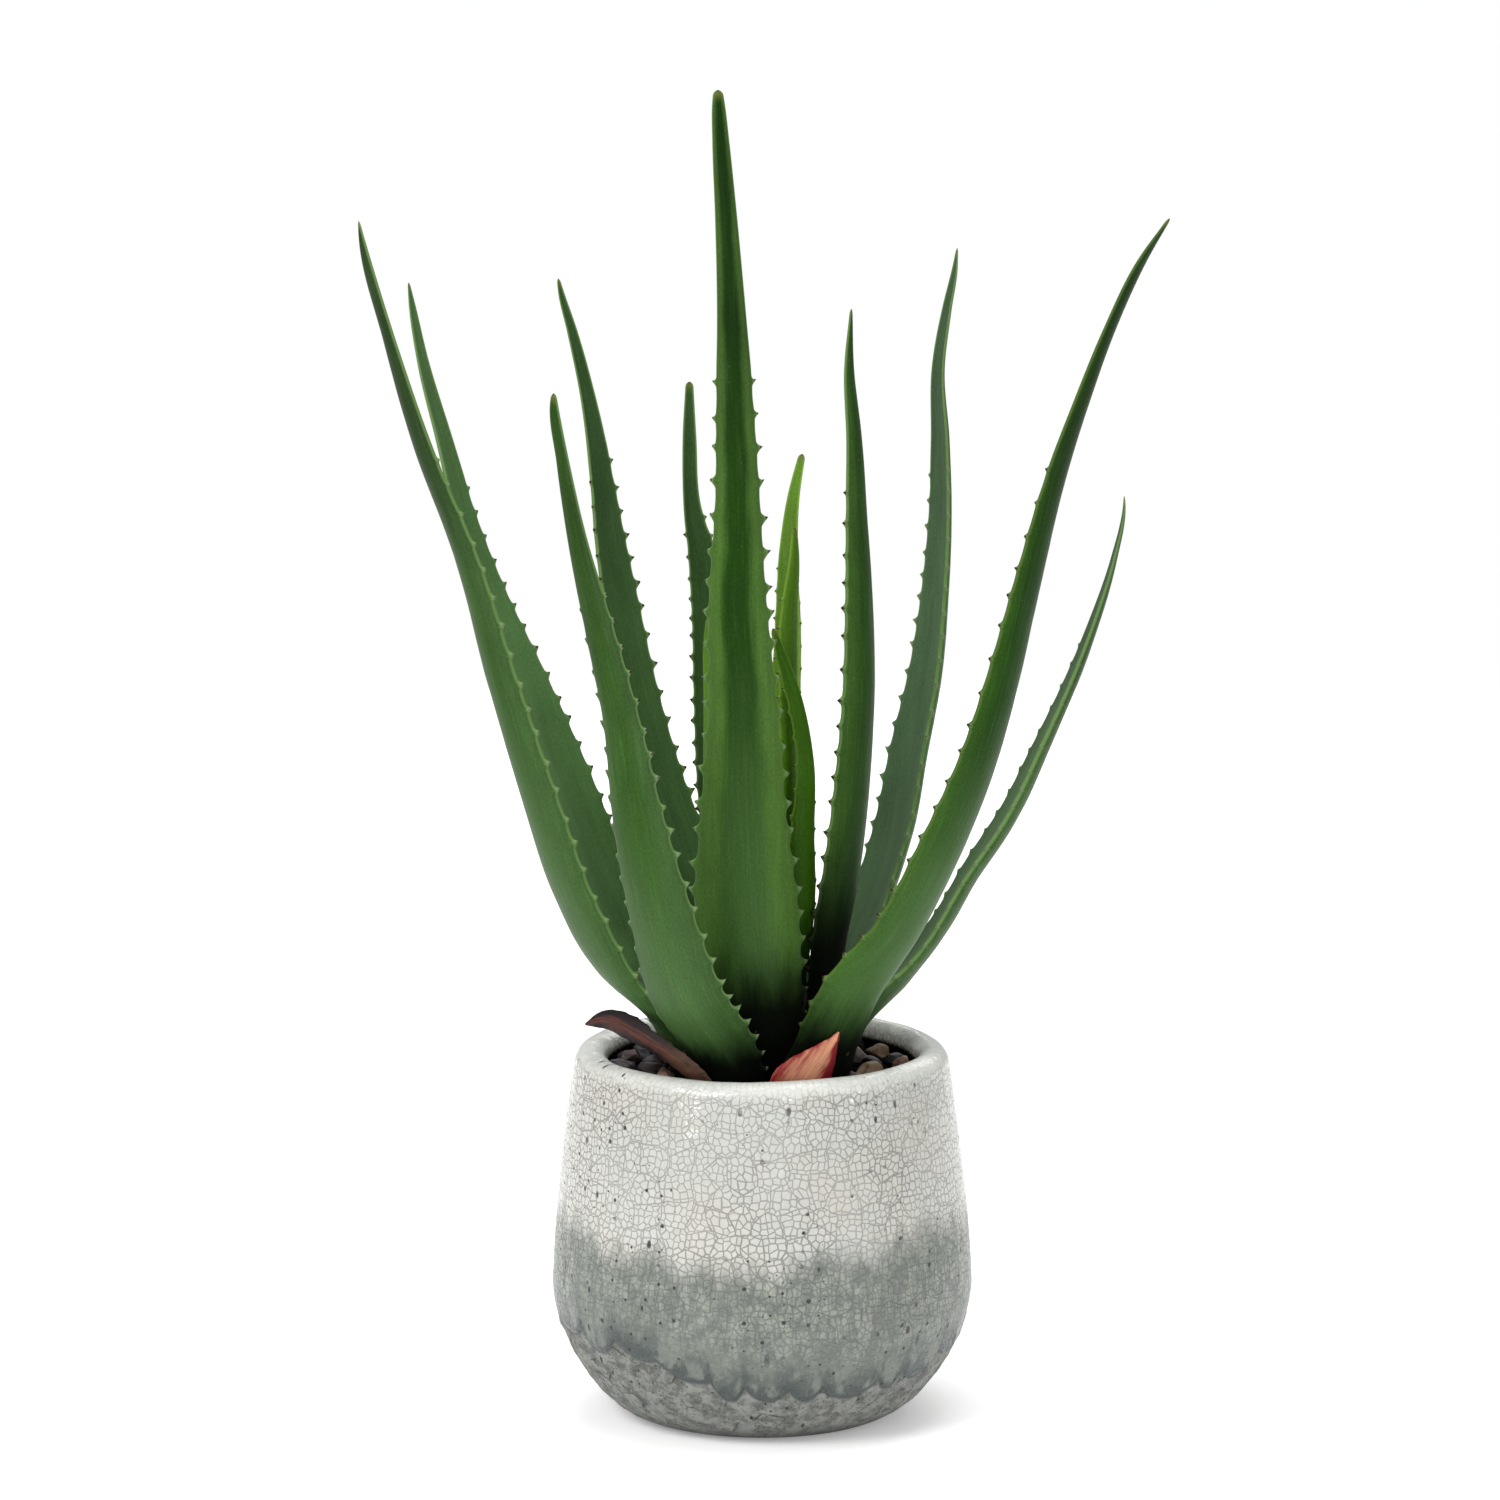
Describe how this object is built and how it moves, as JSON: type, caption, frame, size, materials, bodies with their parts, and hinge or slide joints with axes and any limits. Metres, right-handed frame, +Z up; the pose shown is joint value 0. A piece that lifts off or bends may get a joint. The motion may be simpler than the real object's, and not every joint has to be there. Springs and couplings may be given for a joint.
{
  "type": "potted aloe plant",
  "caption": "Potted aloe: a rosette of tall toothed fleshy leaves in a round crackle-glazed pot, with soil topped by loose pebbles.",
  "frame": {"origin": "middle of the pot's flat underside, on the pot's axis", "axes": "+Z up along the pot's axis and the plant's height, -Y the plant's front, +X its right seen from the front"},
  "size_m": [0.2879, 0.2022, 0.5001],
  "materials": {
    "glaze": "glossy crackle glaze, pale above and grey-green to dark at its drips, rough unglazed foot",
    "soil": "loose dark potting soil",
    "leaf": "satin waxy leaf, dark green, pale horny teeth",
    "young_leaf": "satin waxy leaf, bright yellow-green",
    "stem": "short fibrous stem",
    "dry": "dry papery leaf sheath, streaked maroon and orange",
    "pebble": "mixed brown, grey and dark pebbles, matt"
  },
  "bodies": {
    "root": {"pot": "glaze", "soil": "soil", "stem": "stem", "leaf_left_outer": "leaf", "leaf_left_back": "leaf", "leaf_front_left": "leaf", "leaf_back_left": "leaf", "leaf_tall_centre": "leaf", "leaf_back_narrow": "leaf", "leaf_small_inner": "young_leaf", "leaf_young_back": "young_leaf", "leaf_young_right": "young_leaf", "leaf_young_curved": "young_leaf", "leaf_right_inner": "leaf", "leaf_back_right": "leaf", "leaf_right_long": "leaf", "leaf_right_short": "leaf", "dry_sheath_left": "dry", "dry_sheath_right": "dry", "pebble_01": "pebble", "pebble_02": "pebble", "pebble_03": "pebble", "pebble_04": "pebble", "pebble_05": "pebble", "pebble_06": "pebble", "pebble_07": "pebble", "pebble_08": "pebble", "pebble_09": "pebble", "pebble_10": "pebble", "pebble_11": "pebble", "pebble_12": "pebble", "pebble_13": "pebble", "pebble_14": "pebble", "pebble_15": "pebble", "pebble_16": "pebble", "pebble_17": "pebble", "pebble_18": "pebble", "pebble_19": "pebble", "pebble_20": "pebble", "pebble_21": "pebble", "pebble_22": "pebble", "pebble_23": "pebble", "pebble_24": "pebble", "pebble_25": "pebble", "pebble_26": "pebble", "pebble_27": "pebble", "pebble_28": "pebble", "pebble_29": "pebble", "pebble_30": "pebble", "pebble_31": "pebble", "pebble_32": "pebble", "pebble_33": "pebble", "pebble_34": "pebble", "pebble_35": "pebble"}
  },
  "joints": []
}
